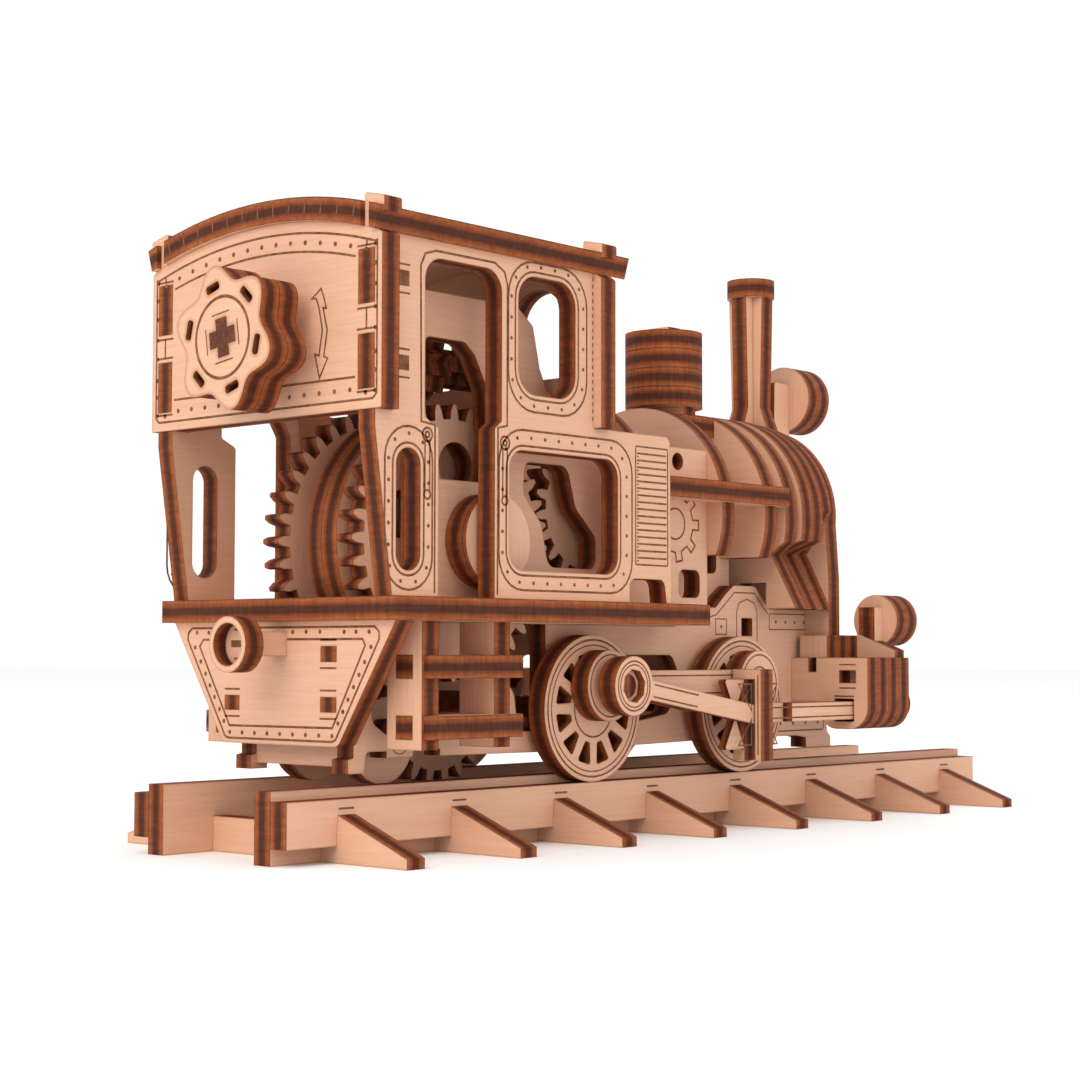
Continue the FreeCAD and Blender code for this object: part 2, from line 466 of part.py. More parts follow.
# ---------------------------------------------------------------- rods
for sg, nm in ((1, "left"), (-1, "right")):
    z = AX_R[1] + CRANK
    c = wire([(AX_R[0], z - 2.1), (AX_F[0], z - 2.1), (AX_F[0], z + 2.1), (AX_R[0], z + 2.1)])
    s = slab(c, [], T)
    for x, r in ((AX_R[0], 5.0), (AX_F[0], 5.0)):
        s = s.fuse(Part.makeCylinder(r, T, V(x, z, 0), V(0, 0, 1)))
    s = s.removeSplitter()
    for x in (AX_R[0], AX_F[0]):
        s = s.cut(Part.makeCylinder(1.66, T + 2, V(x, z, -1), V(0, 0, 1)))
    s = place(s, M_XZ)
    s.translate(V(0, 15.45 + T, 0))
    node("coupling_rod_" + nm, s if sg > 0 else mirror(s))

    # connecting rod: full thickness to the lap, half thickness under the crosshead
    tilt = math.atan2(16.9 - z, 77.2 - AX_R[0])
    L = math.hypot(16.9 - z, 77.2 - AX_R[0])
    full = Part.makeCylinder(4.15, T, V(0, 0, 0), V(0, 0, 1)).fuse(
        slab(rect(0, -1.4, 16.2, 1.4), [], T))
    half = slab(wire([(15.0, -1.4), (L + 1.4, -1.4, 1.35), (L + 1.4, 1.4, 1.35), (15.0, 1.4)]), [], 1.3)
    half.translate(V(0, 0, T - 1.3))
    s = full.fuse(half).removeSplitter()
    s = s.cut(Part.makeCylinder(1.66, T + 2, V(0, 0, -1), V(0, 0, 1)))
    cup = slab(wire([(2.4 * math.cos(math.radians(22.5 + 45 * q)), 2.4 * math.sin(math.radians(22.5 + 45 * q))) for q in range(8)]), [], 2.0)
    cup.translate(V(0, 0, T - 1.2))
    s = s.cut(cup)
    s.rotate(V(0, 0, 0), V(0, 0, 1), math.degrees(tilt))
    s.translate(V(AX_R[0], z, 0))
    s = place(s, M_XZ)             # w = 0 is the outer (-Y) side after the turn on the right-hand rod
    s.translate(V(0, -ROD_OUT + T, 0))
    node("connecting_rod_" + nm, s if sg < 0 else mirror(s))

    # crosshead plate with wings, piston rod and the bar across it
    w = wire([(71.4, 22.2, 0.4), (83.4, 22.2, 0.4), (81.4, 18.6, 0.8), (106.2, 18.5), (106.2, 15.7), (81.4, 15.6, 0.8),
              (83.4, 11.8, 0.4), (71.4, 11.8, 0.4), (74.2, 16.9, 1.2)])
    s = slab(w, [], 1.35)
    thick = slab(rect(86.2, 15.7, 106.2, 18.5), [], T)
    s = s.fuse(thick).removeSplitter()
    s = place(s, M_XZ)
    s.translate(V(0, -ROD_OUT + T, 0))
    bar = yz(76.3, T, wire([(-23.0, 22.2), (-23.0, 10.1), (-24.1, 10.1), (-24.1, 23.7), (-18.95, 23.7), (-18.95, 22.2)]))
    foot = box(76.3, 79.3, -21.05, -18.95, 10.1, 11.8)
    s = s.cut(bar).cut(foot)
    node("crosshead_" + nm, *([q if sg < 0 else mirror(q) for q in s.Solids + [bar, foot]]))

# ---------------------------------------------------------------- gears
A_Y, DRUM_Y, C_Y = 4.9, -5.6, -9.6          # left gear, drum and right gear start here
PH_M = 0.0
ph_pin = mesh_phase(MAIN, IDLER, N_MAIN, PH_M, N_PIN)
ph_axle = mesh_phase(IDLER, AX_R, N_IDLER, 0.0, N_AXLE)
ph_front = mesh_phase(MAIN, THIRD, N_MAIN, PH_M, N_FRONT)
def gear(c, n, ph, y0, t=T, holes=(), bore=SHAFT_R):
    s = slab(gear_wire(c[0], c[1], n, ph), [circ(c[0], c[1], bore)] + list(holes), t)
    s = place(s, M_XZ)
    s.translate(V(0, y0 + t, 0))
    return s
def holes_round(c, r, rh, n, a0=0.0):
    return [circ(c[0] + r * math.cos(a0 + 2 * math.pi * k / n), c[1] + r * math.sin(a0 + 2 * math.pi * k / n), rh) for k in range(n)]
node("main_gears", gear(MAIN, N_MAIN, PH_M, A_Y, T, holes_round(MAIN, 10.5, 3.2, 5, 0.3)),
     gear(MAIN, N_MAIN, PH_M, C_Y, T, holes_round(MAIN, 10.5, 3.2, 5, 0.3)))
dr = slab(circ(MAIN[0], MAIN[1], 17.9), [circ(MAIN[0], MAIN[1], SHAFT_R)], 5.6)
dr = place(dr, M_XZ)
dr.translate(V(0, DRUM_Y + 5.6, 0))
node("spring_drum", dr)
node("main_shaft", rod_y(MAIN[0], MAIN[1], SHAFT_R, -17.9, 17.9))
caps = rod_y(MAIN[0], MAIN[1], 6.3, 14.3, 17.9).cut(rod_y(MAIN[0], MAIN[1], SHAFT_R, 10, 20))
node("main_shaft_caps", caps, mirror(caps))
node("idler_pinion", gear(IDLER, N_PIN, ph_pin, A_Y))
node("idler_gear", gear(IDLER, N_IDLER, 0.0, 0.9))
node("idler_shaft", rod_y(IDLER[0], IDLER[1], SHAFT_R, -FRAME_Y - T, FRAME_Y + T))
node("axle_pinion", gear(AX_R, N_AXLE, ph_axle, 0.9))
node("front_gear", gear(THIRD, N_FRONT, ph_front, C_Y))
node("front_gear_shaft", rod_y(THIRD[0], THIRD[1], SHAFT_R, -PLATE_Y - T, PLATE_Y + T))

# ---------------------------------------------------------------- guide rollers
gr = rod_y(GUIDE[0], GUIDE[1], GUIDE_R, 4.8, 7.7).cut(rod_y(GUIDE[0], GUIDE[1], SHAFT_R, 0, 20))
node("guide_wheelset", gr, mirror(gr), rod_y(GUIDE[0], GUIDE[1], SHAFT_R, -FRAME_Y - T, FRAME_Y + T))

# ---------------------------------------------------------------- winding knob
pts = []
NL = 6
for k in range(NL * 12):
    a = 2 * math.pi * k / (NL * 12)
    r = 8.45 + 1.05 * math.cos(NL * (a - math.radians(17)))
    pts.append(V(KNOB_Y + r * math.cos(a), KNOB_Z + r * math.sin(a), 0))
sp_ = Part.BSplineCurve()
sp_.interpolate(pts, PeriodicFlag=True)
kh = []
for k in range(6):
    a = math.radians(13 + 60 * k)
    cyy, czz = KNOB_Y + 6.75 * math.cos(a), KNOB_Z + 6.75 * math.sin(a)
    t_ = (-math.sin(a), math.cos(a))
    n_ = (math.cos(a), math.sin(a))
    p = [(cyy + t_[0] * q + n_[0] * w_, czz + t_[1] * q + n_[1] * w_, 0.4) for q, w_ in ((-1.3, -0.55), (1.3, -0.55), (1.3, 0.55), (-1.3, 0.55))]
    kh.append(wire(p))
def plus(c, a, b):
    y, z = c
    q = math.radians(-8)
    turn = lambda p: (y + (p[0] - y) * math.cos(q) - (p[1] - z) * math.sin(q), z + (p[0] - y) * math.sin(q) + (p[1] - z) * math.cos(q))
    return wire([turn(p) for p in ((y - a, z - b), (y - b, z - b), (y - b, z - a), (y + b, z - a), (y + b, z - b), (y + a, z - b),
                 (y + a, z + b), (y + b, z + b), (y + b, z + a), (y - b, z + a), (y - b, z + b), (y - a, z + b))])
kn = yz(-9.0, 2 * T, Part.Wire([sp_.toShape()]), kh + [plus((KNOB_Y, KNOB_Z), 2.5, 1.1)])
node("winding_knob", kn)
sh = yz(-9.0, 49.0, plus((KNOB_Y, KNOB_Z), 2.5, 1.1)).fuse(rod_x(KNOB_Y, KNOB_Z, 1.5, 39.0, 46.0)).removeSplitter()
node("winding_shaft", sh)
node("winding_pinion", yz(22.0, 2 * T, wire([(KNOB_Y + (4.6 if k % 2 else 3.4) * math.cos(2 * math.pi * (k + (0.22 if (k % 2) else -0.22)) / 20 + 0.0),
                                              KNOB_Z + (4.6 if k % 2 else 3.4) * math.sin(2 * math.pi * (k + (0.22 if (k % 2) else -0.22)) / 20 + 0.0)) for k in range(20)]),
                             [plus((KNOB_Y, KNOB_Z), 2.5, 1.1)]))

for name, shape in NODES.items():
    shape.exportStep("parts/" + name + ".step")
bb = None
for s in NODES.values():
    bb = s.BoundBox if bb is None else bb.united(s.BoundBox)
print(len(NODES), "nodes", bb.XMin, bb.XMax, bb.YMin, bb.YMax, bb.ZMin, bb.ZMax)
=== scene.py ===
import bpy
import math
from mathutils import Matrix, Vector


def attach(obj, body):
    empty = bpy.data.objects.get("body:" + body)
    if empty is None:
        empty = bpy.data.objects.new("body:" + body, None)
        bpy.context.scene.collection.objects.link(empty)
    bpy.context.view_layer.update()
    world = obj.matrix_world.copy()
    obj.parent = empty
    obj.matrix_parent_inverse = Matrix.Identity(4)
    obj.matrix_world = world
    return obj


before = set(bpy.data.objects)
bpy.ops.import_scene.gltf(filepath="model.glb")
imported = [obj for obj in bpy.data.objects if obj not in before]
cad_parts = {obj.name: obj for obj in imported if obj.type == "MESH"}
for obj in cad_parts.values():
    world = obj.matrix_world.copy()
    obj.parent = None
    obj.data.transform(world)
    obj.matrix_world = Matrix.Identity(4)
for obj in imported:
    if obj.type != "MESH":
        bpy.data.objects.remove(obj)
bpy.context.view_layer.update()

XC = 71.65          # layout station over the origin, mm
T = 3.0             # sheet thickness, mm
MAIN, IDLER, THIRD = (26.0, 41.0), (33.53, 19.30), (53.39, 46.82)
AX_R, AX_F, CRANK = (48.5, 18.3), (83.7, 18.3), 3.2
PIN_Z = AX_R[1] + CRANK
KY, KZ = -2.85, 65.8
ROOF_R, ROOF_C = 76.3, 5.3
BOIL_Z = 47.5


# ------------------------------------------------------------------ node trees
class Tree:
    def __init__(self, name):
        self.mat = bpy.data.materials.new(name)
        self.mat.use_nodes = True
        self.t = self.mat.node_tree
        self.t.nodes.clear()
        self.out = self.t.nodes.new("ShaderNodeOutputMaterial")

    def node(self, kind, **props):
        n = self.t.nodes.new(kind)
        for k, v in props.items():
            setattr(n, k, v)
        return n

    def link(self, a, b):
        self.t.links.new(a, b)

    def put(self, sock, v):
        if isinstance(v, bpy.types.NodeSocket):
            self.link(v, sock)
        else:
            sock.default_value = v

    def m(self, op, a, b=None, c=None, clamp=False):
        n = self.node("ShaderNodeMath", operation=op)
        n.use_clamp = clamp
        self.put(n.inputs[0], a)
        if b is not None:
            self.put(n.inputs[1], b)
        if c is not None:
            self.put(n.inputs[2], c)
        return n.outputs[0]

    def vm(self, op, a, b=None):
        n = self.node("ShaderNodeVectorMath", operation=op)
        self.put(n.inputs[0], a)
        if b is not None:
            self.put(n.inputs[1], b)
        return n.outputs["Value"] if op in ("DOT_PRODUCT", "LENGTH") else n.outputs["Vector"]

    def noise(self, vec, scale, detail=2.0, rough=0.5):
        n = self.node("ShaderNodeTexNoise")
        self.put(n.inputs["Vector"], vec)
        n.inputs["Scale"].default_value = scale
        n.inputs["Detail"].default_value = detail
        n.inputs["Roughness"].default_value = rough
        return n.outputs["Fac"]

    def rng(self, v, a, b, c, d, smooth=False):
        n = self.node("ShaderNodeMapRange")
        n.clamp = True
        if smooth:
            n.interpolation_type = "SMOOTHSTEP"
        self.put(n.inputs["Value"], v)
        for k, q in zip(("From Min", "From Max", "To Min", "To Max"), (a, b, c, d)):
            n.inputs[k].default_value = q
        return n.outputs["Result"]

    def mix(self, fac, a, b, mode="MIX"):
        n = self.node("ShaderNodeMix", data_type="RGBA", blend_type=mode)
        self.put(n.inputs[0], fac)
        self.put(n.inputs[6], a if isinstance(a, bpy.types.NodeSocket) else (*a, 1.0))
        self.put(n.inputs[7], b if isinstance(b, bpy.types.NodeSocket) else (*b, 1.0))
        return n.outputs[2]


FACE_A = (0.720, 0.425, 0.285)
FACE_B = (0.600, 0.330, 0.205)
SCORCH = (0.300, 0.130, 0.050)
EDGE_HI = (0.300, 0.078, 0.020)
EDGE_LO = (0.068, 0.016, 0.006)
EDGE_MID = (0.165, 0.038, 0.010)
_mats = {}


def ply(axis, off=0.0, grain=None, absy=False, pitch=0.0, scorch=0.35, shade_tone=1.0, key=""):
    """Laser-cut birch plywood. axis: sheet normal ('X', 'Y', 'Z', 'R' for the bent roof, 'N' for burnt all round);
    off: where the sheet starts on that axis in layout mm; grain: axis the grain runs along."""
    # shade_tone: painted shade, a multiplier that darkens the face colour of parts that sit in less light
    ident = "ply_%s_%g_%s_%d_%g_%g_%g%s" % (axis, off, grain, absy, pitch, scorch, shade_tone, key)
    if ident in _mats:
        return _mats[ident]
    t = Tree("birch_" + ident.replace("-", "m"))
    tc = t.node("ShaderNodeTexCoord")
    obj, nrm = tc.outputs["Object"], tc.outputs["Normal"]
    sep = t.node("ShaderNodeSeparateXYZ"); t.link(obj, sep.inputs[0])
    x = t.m("MULTIPLY_ADD", sep.outputs[0], 1000.0, XC)
    y = t.m("MULTIPLY", sep.outputs[1], 1000.0)
    z = t.m("MULTIPLY", sep.outputs[2], 1000.0)
    nsep = t.node("ShaderNodeSeparateXYZ"); t.link(nrm, nsep.inputs[0])
    ay = t.m("ABSOLUTE", y)
    if axis == "X":
        a, na = x, t.m("ABSOLUTE", nsep.outputs[0])
    elif axis == "Y":
        a, na = (ay if absy else y), t.m("ABSOLUTE", nsep.outputs[1])
    elif axis == "Z":
        a, na = z, t.m("ABSOLUTE", nsep.outputs[2])
    elif axis == "R":
        zz = t.m("SUBTRACT", z, ROOF_C)
        rad = t.m("SQRT", t.m("ADD", t.m("MULTIPLY", y, y), t.m("MULTIPLY", zz, zz)))
        a = rad
        dot = t.m("ADD", t.m("MULTIPLY", nsep.outputs[1], y), t.m("MULTIPLY", nsep.outputs[2], zz))
        na = t.m("ABSOLUTE", t.m("DIVIDE", dot, rad))
    else:
        a, na = x, None
    rel = t.m("SUBTRACT", a, off)
    if pitch:
        rel = t.m("SUBTRACT", rel, t.m("MULTIPLY", t.m("FLOOR", t.m("DIVIDE", t.m("ADD", rel, 0.5), pitch)), pitch))
    comb = t.node("ShaderNodeCombineXYZ")
    t.link(x, comb.inputs[0]); t.link(y, comb.inputs[1]); t.link(z, comb.inputs[2])
    mm = comb.outputs[0]
    # burnt edge: three veneers, streaks across them
    wob = t.noise(mm, 0.9, 3.0, 0.6)
    frac = t.m("FRACT", t.m("ADD", t.m("DIVIDE", rel, T), t.m("MULTIPLY_ADD", wob, 0.10, 99.95)))
    ramp = t.node("ShaderNodeValToRGB")
    t.link(frac, ramp.inputs[0])
    el = ramp.color_ramp.elements
    el[0].position, el[0].color = 0.0, (0.08, 0.026, 0.012, 1)
    el[1].position, el[1].color = 1.0, (0.08, 0.026, 0.012, 1)
    for p, c in ((0.05, EDGE_HI), (0.27, EDGE_MID), (0.36, EDGE_LO), (0.62, EDGE_LO), (0.70, EDGE_MID), (0.93, EDGE_HI)):
        e = el.new(p); e.color = (*c, 1)
    stretch = {"X": (0.25, 1.6, 1.6), "Y": (1.6, 0.25, 1.6), "Z": (1.6, 1.6, 0.25)}.get(axis, (1.2, 1.2, 1.2))
    streak = t.noise(t.vm("MULTIPLY", mm, stretch), 1.1, 4.0, 0.65)
    along = t.noise(t.vm("MULTIPLY", mm, tuple(0.16 if s > 1 else 2.2 for s in stretch)), 1.3, 3.0, 0.6)
    gain = t.m("MULTIPLY", t.rng(streak, 0.3, 0.72, 0.75, 1.35), t.rng(along, 0.3, 0.7, 0.82, 1.2))
    gcol = t.node("ShaderNodeCombineColor")
    for k in range(3):
        t.link(gain, gcol.inputs[k])
    edge = t.mix(1.0, ramp.outputs[0], gcol.outputs[0], "MULTIPLY")
    # birch face
    g = grain or {"X": "Z", "Y": "X", "Z": "X", "R": "X"}.get(axis, "X")
    gs = {"X": (0.07, 1.5, 1.5), "Y": (1.5, 0.07, 1.5), "Z": (1.5, 1.5, 0.07)}[g]
    fine = t.noise(t.vm("MULTIPLY", mm, gs), 1.8, 4.0, 0.6)
    broad = t.noise(t.vm("MULTIPLY", mm, tuple(q * 0.12 for q in gs)), 1.0, 2.0, 0.5)
    face = t.mix(t.rng(fine, 0.36, 0.70, 0.0, 0.55), FACE_A, FACE_B)
    face = t.mix(t.rng(broad, 0.4, 0.7, 0.0, 0.30), face, (0.62, 0.35, 0.23))
    geo = t.node("ShaderNodeNewGeometry")
    bev = t.node("ShaderNodeBevel"); bev.samples = 5
    bev.inputs["Radius"].default_value = scorch / 1000.0
    near = t.m("SUBTRACT", 1.0, t.vm("DOT_PRODUCT", bev.outputs[0], geo.outputs["Normal"]))
    face = t.mix(t.rng(near, 0.004, 0.20, 0.0, 0.80, True), face, SCORCH)
    # painted shade: the face colour is multiplied darker on parts that sit in less light (rail guides, cab sides,
    # outer gear plates)
    if shade_tone != 1.0:
        face = t.mix(1.0, face, (shade_tone, shade_tone * 0.985, shade_tone * 0.97), "MULTIPLY")
    if na is None:
        col = t.mix(0.0, edge, edge)
        rough = 0.75
    else:
        isface = t.m("GREATER_THAN", na, 0.80)
        col = t.mix(isface, edge, face)
        rough = t.rng(isface, 0.0, 1.0, 0.78, 0.58)
    b = t.node("ShaderNodeBsdfPrincipled")
    t.link(col, b.inputs["Base Color"])
    t.put(b.inputs["Roughness"], rough)
    b.inputs["Specular IOR Level"].default_value = 0.25
    bump = t.node("ShaderNodeBump")
    bump.inputs["Strength"].default_value = 0.18
    bump.inputs["Distance"].default_value = 0.00008
    t.link(fine, bump.inputs["Height"])
    t.link(bump.outputs[0], b.inputs["Normal"])
    t.link(b.outputs[0], t.out.inputs[0])
    _mats[ident] = t.mat
    return t.mat


def dark(name="scorched_line", col=(0.17, 0.072, 0.036)):
    if name in _mats:
        return _mats[name]
    t = Tree(name)
    tc = t.node("ShaderNodeTexCoord")
    n = t.noise(tc.outputs["Object"], 900.0, 3.0, 0.6)
    c = t.mix(t.rng(n, 0.3, 0.7, 0.0, 1.0), tuple(q * 0.65 for q in col), tuple(min(1, q * 1.7) for q in col))
    b = t.node("ShaderNodeBsdfPrincipled")
    t.link(c, b.inputs["Base Color"])
    b.inputs["Roughness"].default_value = 0.85
    b.inputs["Specular IOR Level"].default_value = 0.1
    t.link(b.outputs[0], t.out.inputs[0])
    _mats[name] = t.mat
    return t.mat


# ------------------------------------------------------------------ looks of every CAD piece
def paint(name, *rules):
    """rules: (test(x, y, z, nx, ny, nz) or None, material), first match wins, in layout mm."""
    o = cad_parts[name]
    o.data.materials.clear()
    for r in rules:
        o.data.materials.append(r[1])
    for p in o.data.polygons:
        c, n = p.center, p.normal
        a = (c.x * 1000 + XC, c.y * 1000, c.z * 1000, n.x, n.y, n.z)
        for i, r in enumerate(rules):
            if r[0] is None or r[0](*a):
                p.material_index = i
                break


# painted shade: the rail guides get a darker face colour because they sit in less light
paint("track_rail_guides", (None, ply("Y", 9.02, "X", absy=True, shade_tone=0.97)))
paint("track_rail_ledges", (None, ply("Y", 12.02, "X", absy=True)))
paint("track_sleepers", (None, ply("X", 0.0, "Y", pitch=20.14)))
paint("main_frames", (None, ply("Y", 8.0, "X", absy=True)))
paint("frame_spacers", (None, ply("X", 6.4, "Y")))
paint("footplate", (None, ply("Z", 30.12, "X")))
paint("rear_lower_panel", (None, ply("X", 3.35, "Y")))
paint("tail_lamp_bracket", (None, ply("Y", -1.5, "X")))
paint("tail_lamp_ring", (None, ply("X", -5.4, "Z", scorch=0.5)))
paint("step_posts", (None, ply("X", 8.7, "Z", pitch=13.2)))
paint("step_boards", (None, ply("Z", 15.1, "X", pitch=7.7)))
paint("cab_rear_panel", (None, ply("X", -0.23, "Y")))
for s in ("left", "right"):
    # painted shade: the cab sides get a darker face colour because they face away from the key light
    paint("cab_side_" + s, (None, ply("Y", 18.49, "X", absy=True, shade_tone=0.98)))
    paint("coupling_rod_" + s, (None, ply("Y", 15.45, "X", absy=True)))
    paint("connecting_rod_" + s, (None, ply("Y", 19.7, "X", absy=True)))
    paint("crosshead_" + s, (lambda x, y, z, a, b, c: 76.2 < x < 79.4, ply("X", 76.3, "Z")),
          (None, ply("Y", 19.7, "X", absy=True)))
paint("cab_front_wall", (None, ply("X", 41.22, "Y")))
paint("roof_sheet", (None, ply("R", ROOF_R, "Y")))
paint("roof_clips", (lambda x, y, z, a, b, c: x < 10, ply("X", -0.23, "Y")), (None, ply("X", 41.22, "Y")))
# painted shade: the outer gear plates get a darker face colour because they sit in shade
paint("gear_plates", (lambda x, y, z, a, b, c: abs(y) < 8.05, ply("Y", 5.0, "X", absy=True)),
      (None, ply("Y", 11.0, "X", absy=True, shade_tone=0.96)))
paint("boiler_arch", (None, ply("X", 57.2, "Y")))
paint("boiler_ribs", (lambda x, y, z, a, b, c: x < 80, ply("X", 76.5, "Y")),
      (lambda x, y, z, a, b, c: x < 91, ply("X", 87.5, "Y")), (None, ply("X", 93.0, "Y")))
paint("smokebox_rings", (None, ply("X", 97.4, "Y")))
paint("smokebox_front", (None, ply("X", 106.4, "Y")))
paint("smokebox_saddles", (None, ply("X", 103.6, "Z")))
paint("handrail_boards", (None, ply("Z", 49.0, "X")))
paint("dome_seat", (lambda x, y, z, a, b, c: z > 63.41, ply("X", 82.0, "Y")), (None, ply("Z", 60.4, "X")))
paint("dome_discs", (lambda x, y, z, a, b, c: z > 77.01, ply("X", 82.0, "Y")), (None, ply("Z", 65.0, "X", scorch=0.5)))
paint("chimney_plies", (lambda x, y, z, a, b, c: abs(y) < 1.49 and abs(x - 107.0) > 1.52, ply("Y", -1.5, "Z")),
      (lambda x, y, z, a, b, c: abs(y) < 1.52 and abs(b) > 0.9, ply("Y", -1.5, "Z")), (None, ply("X", 105.5, "Z")))
paint("chimney_cap", (None, ply("Z", 85.6, "X", scorch=0.5)))
paint("head_lamp", (None, ply("X", 115.8, "Z")))
paint("lamp_arms", (lambda x, y, z, a, b, c: abs(y) < 2, ply("Y", -1.5, "Z")), (None, ply("Y", 17.7, "Z", absy=True)))
paint("front_lamp_brackets", (None, ply("X", 112.2, "Y")))
paint("front_lamps", (None, ply("X", 114.8, "Z")))
paint("cylinder_plies", (None, ply("X", 102.6, "Y")))
paint("cylinder_heads", (None, ply("X", 114.6, "Z", scorch=0.6)))
for w in ("rear_wheels", "front_wheels"):
    paint(w, (None, ply("Y", 12.2, "X", absy=True, scorch=0.45)))
paint("main_gears", (lambda x, y, z, a, b, c: y > 0, ply("Y", 4.9, "Z")), (None, ply("Y", -9.6, "Z")))
paint("spring_drum", (None, ply("Y", -5.6, "Z")))
paint("main_shaft_caps", (None, ply("Y", 14.3, "Z", absy=True)))
paint("idler_pinion", (None, ply("Y", 4.9, "Z")))
paint("idler_gear", (None, ply("Y", 0.9, "Z")))
paint("axle_pinion", (None, ply("Y", 0.9, "Z")))
paint("front_gear", (None, ply("Y", -9.6, "Z")))
paint("guide_wheelset", (None, ply("Y", 4.7, "X", absy=True)))
paint("winding_knob", (None, ply("X", -9.0, "Y", scorch=1.1)))
paint("winding_pinion", (None, ply("X", 22.0, "Y")))
for n in ("rear_axle", "front_axle", "rear_crank_pins", "front_crank_pins", "main_shaft", "idler_shaft", "front_gear_shaft"):
    paint(n, (None, ply("N", 0.0, key="pin")))
paint("winding_shaft", (None, ply("N", 0.0, key="shaft")))


# ------------------------------------------------------------------ engraved marks
LIFT = 0.02


class Marks:
    """Thin burnt marks on one flat face. plane: 'X', 'Y' or 'Z' at val (layout mm), facing sign."""

    def __init__(self, name, body, plane, val, sign, mat=None, w=0.30):
        self.name, self.body, self.plane, self.val, self.sign, self.w = name, body, plane, val + sign * LIFT, sign, w
        self.mat = mat or dark()
        self.v, self.f = [], []

    def p3(self, u, v):
        q = {"X": (self.val, u, v), "Y": (u, self.val, v), "Z": (u, v, self.val)}[self.plane]
        return ((q[0] - XC) / 1000, q[1] / 1000, q[2] / 1000)

    def fill(self, pts):
        n = len(self.v)
        area = sum(a[0] * b[1] - b[0] * a[1] for a, b in zip(pts, pts[1:] + pts[:1]))
        flip = (area > 0) != ((self.sign > 0) != (self.plane == "Y"))
        if flip:
            pts = pts[::-1]
        self.v += [self.p3(*q) for q in pts]
        self.f.append(tuple(range(n, n + len(pts))))

    def line(self, pts, closed=False, w=None):
        """A ribbon of width w with mitred corners."""
        w = (w or self.w) / 2
        q = [pts[0]]
        for p in pts[1:]:
            if math.hypot(p[0] - q[-1][0], p[1] - q[-1][1]) > 1e-4:
                q.append(p)
        if closed and math.hypot(q[0][0] - q[-1][0], q[0][1] - q[-1][1]) < 1e-4:
            q.pop()
        n = len(q)
        L, R = [], []
        for i in range(n):
            a = q[i - 1] if (i or closed) else None
            b = q[(i + 1) % n] if (i < n - 1 or closed) else None
            d1 = _unit(q[i], a, -1) if a else None
            d2 = _unit(q[i], b, 1) if b else None
            d1 = d1 or d2
            d2 = d2 or d1
            t = (d1[0] + d2[0], d1[1] + d2[1])
            h = math.hypot(*t) or 1.0
            t = (t[0] / h, t[1] / h)
            nn = (-t[1], t[0])
            c = max(0.4, nn[0] * -d1[1] + nn[1] * d1[0])
            L.append((q[i][0] + nn[0] * w / c, q[i][1] + nn[1] * w / c))
            R.append((q[i][0] - nn[0] * w / c, q[i][1] - nn[1] * w / c))
        for i in range(n if closed else n - 1):
            j = (i + 1) % n
            self.fill([R[i], R[j], L[j], L[i]])

    def dot(self, u, v, r=0.26):
        self.fill([(u + r * math.cos(k * math.pi / 5), v + r * math.sin(k * math.pi / 5)) for k in range(10)])

    def circle(self, u, v, r, w=None, a0=0.0, a1=360.0):
        n = max(12, int(abs(a1 - a0) / 8))
        pts = [(u + r * math.cos(math.radians(a0 + (a1 - a0) * k / n)), v + r * math.sin(math.radians(a0 + (a1 - a0) * k / n)))
               for k in range(n + 1)]
        self.line(pts, closed=abs(a1 - a0) >= 360, w=w)

    def rrect(self, u0, v0, u1, v1, r, w=None):
        self.line(rr(u0, v0, u1, v1, r), True, w)

    def dots_on(self, path, step, r=0.26, closed=True, skip=None):
        for p in along(path, step, closed):
            if not (skip and skip(*p)):
                self.dot(p[0], p[1], r)

    def done(self):
        me = bpy.data.meshes.new(self.name)
        me.from_pydata(self.v, [], self.f)
        me.materials.append(self.mat)
        o = bpy.data.objects.new(self.name, me)
        bpy.context.scene.collection.objects.link(o)
        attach(o, self.body)
        return o


def _unit(p, q, s):
    d = (s * (q[0] - p[0]), s * (q[1] - p[1]))
    h = math.hypot(*d) or 1.0
    return (d[0] / h, d[1] / h)


def rr(u0, v0, u1, v1, r, n=6):
    out = []
    for cu, cv, a in ((u1 - r, v1 - r, 0), (u0 + r, v1 - r, 90), (u0 + r, v0 + r, 180), (u1 - r, v0 + r, 270)):
        for k in range(n + 1):
            t = math.radians(a + 90.0 * k / n)
            out.append((cu + r * math.cos(t), cv + r * math.sin(t)))
    return out


def along(path, step, closed=True):
    pts = list(path) + ([path[0]] if closed else [])
    seg = [math.hypot(b[0] - a[0], b[1] - a[1]) for a, b in zip(pts, pts[1:])]
    total = sum(seg)
    n = max(1, round(total / step))
    want = [total * k / n for k in range(n if closed else n + 1)]
    out, acc, i = [], 0.0, 0
    for w in want:
        while i < len(seg) - 1 and acc + seg[i] < w:
            acc += seg[i]
            i += 1
        f = (w - acc) / seg[i] if seg[i] else 0.0
        a, b = pts[i], pts[i + 1]
        out.append((a[0] + (b[0] - a[0]) * f, a[1] + (b[1] - a[1]) * f))
    return out


def arch(y, e=0.0):
    return ROOF_C + math.sqrt((ROOF_R + e) ** 2 - y * y)


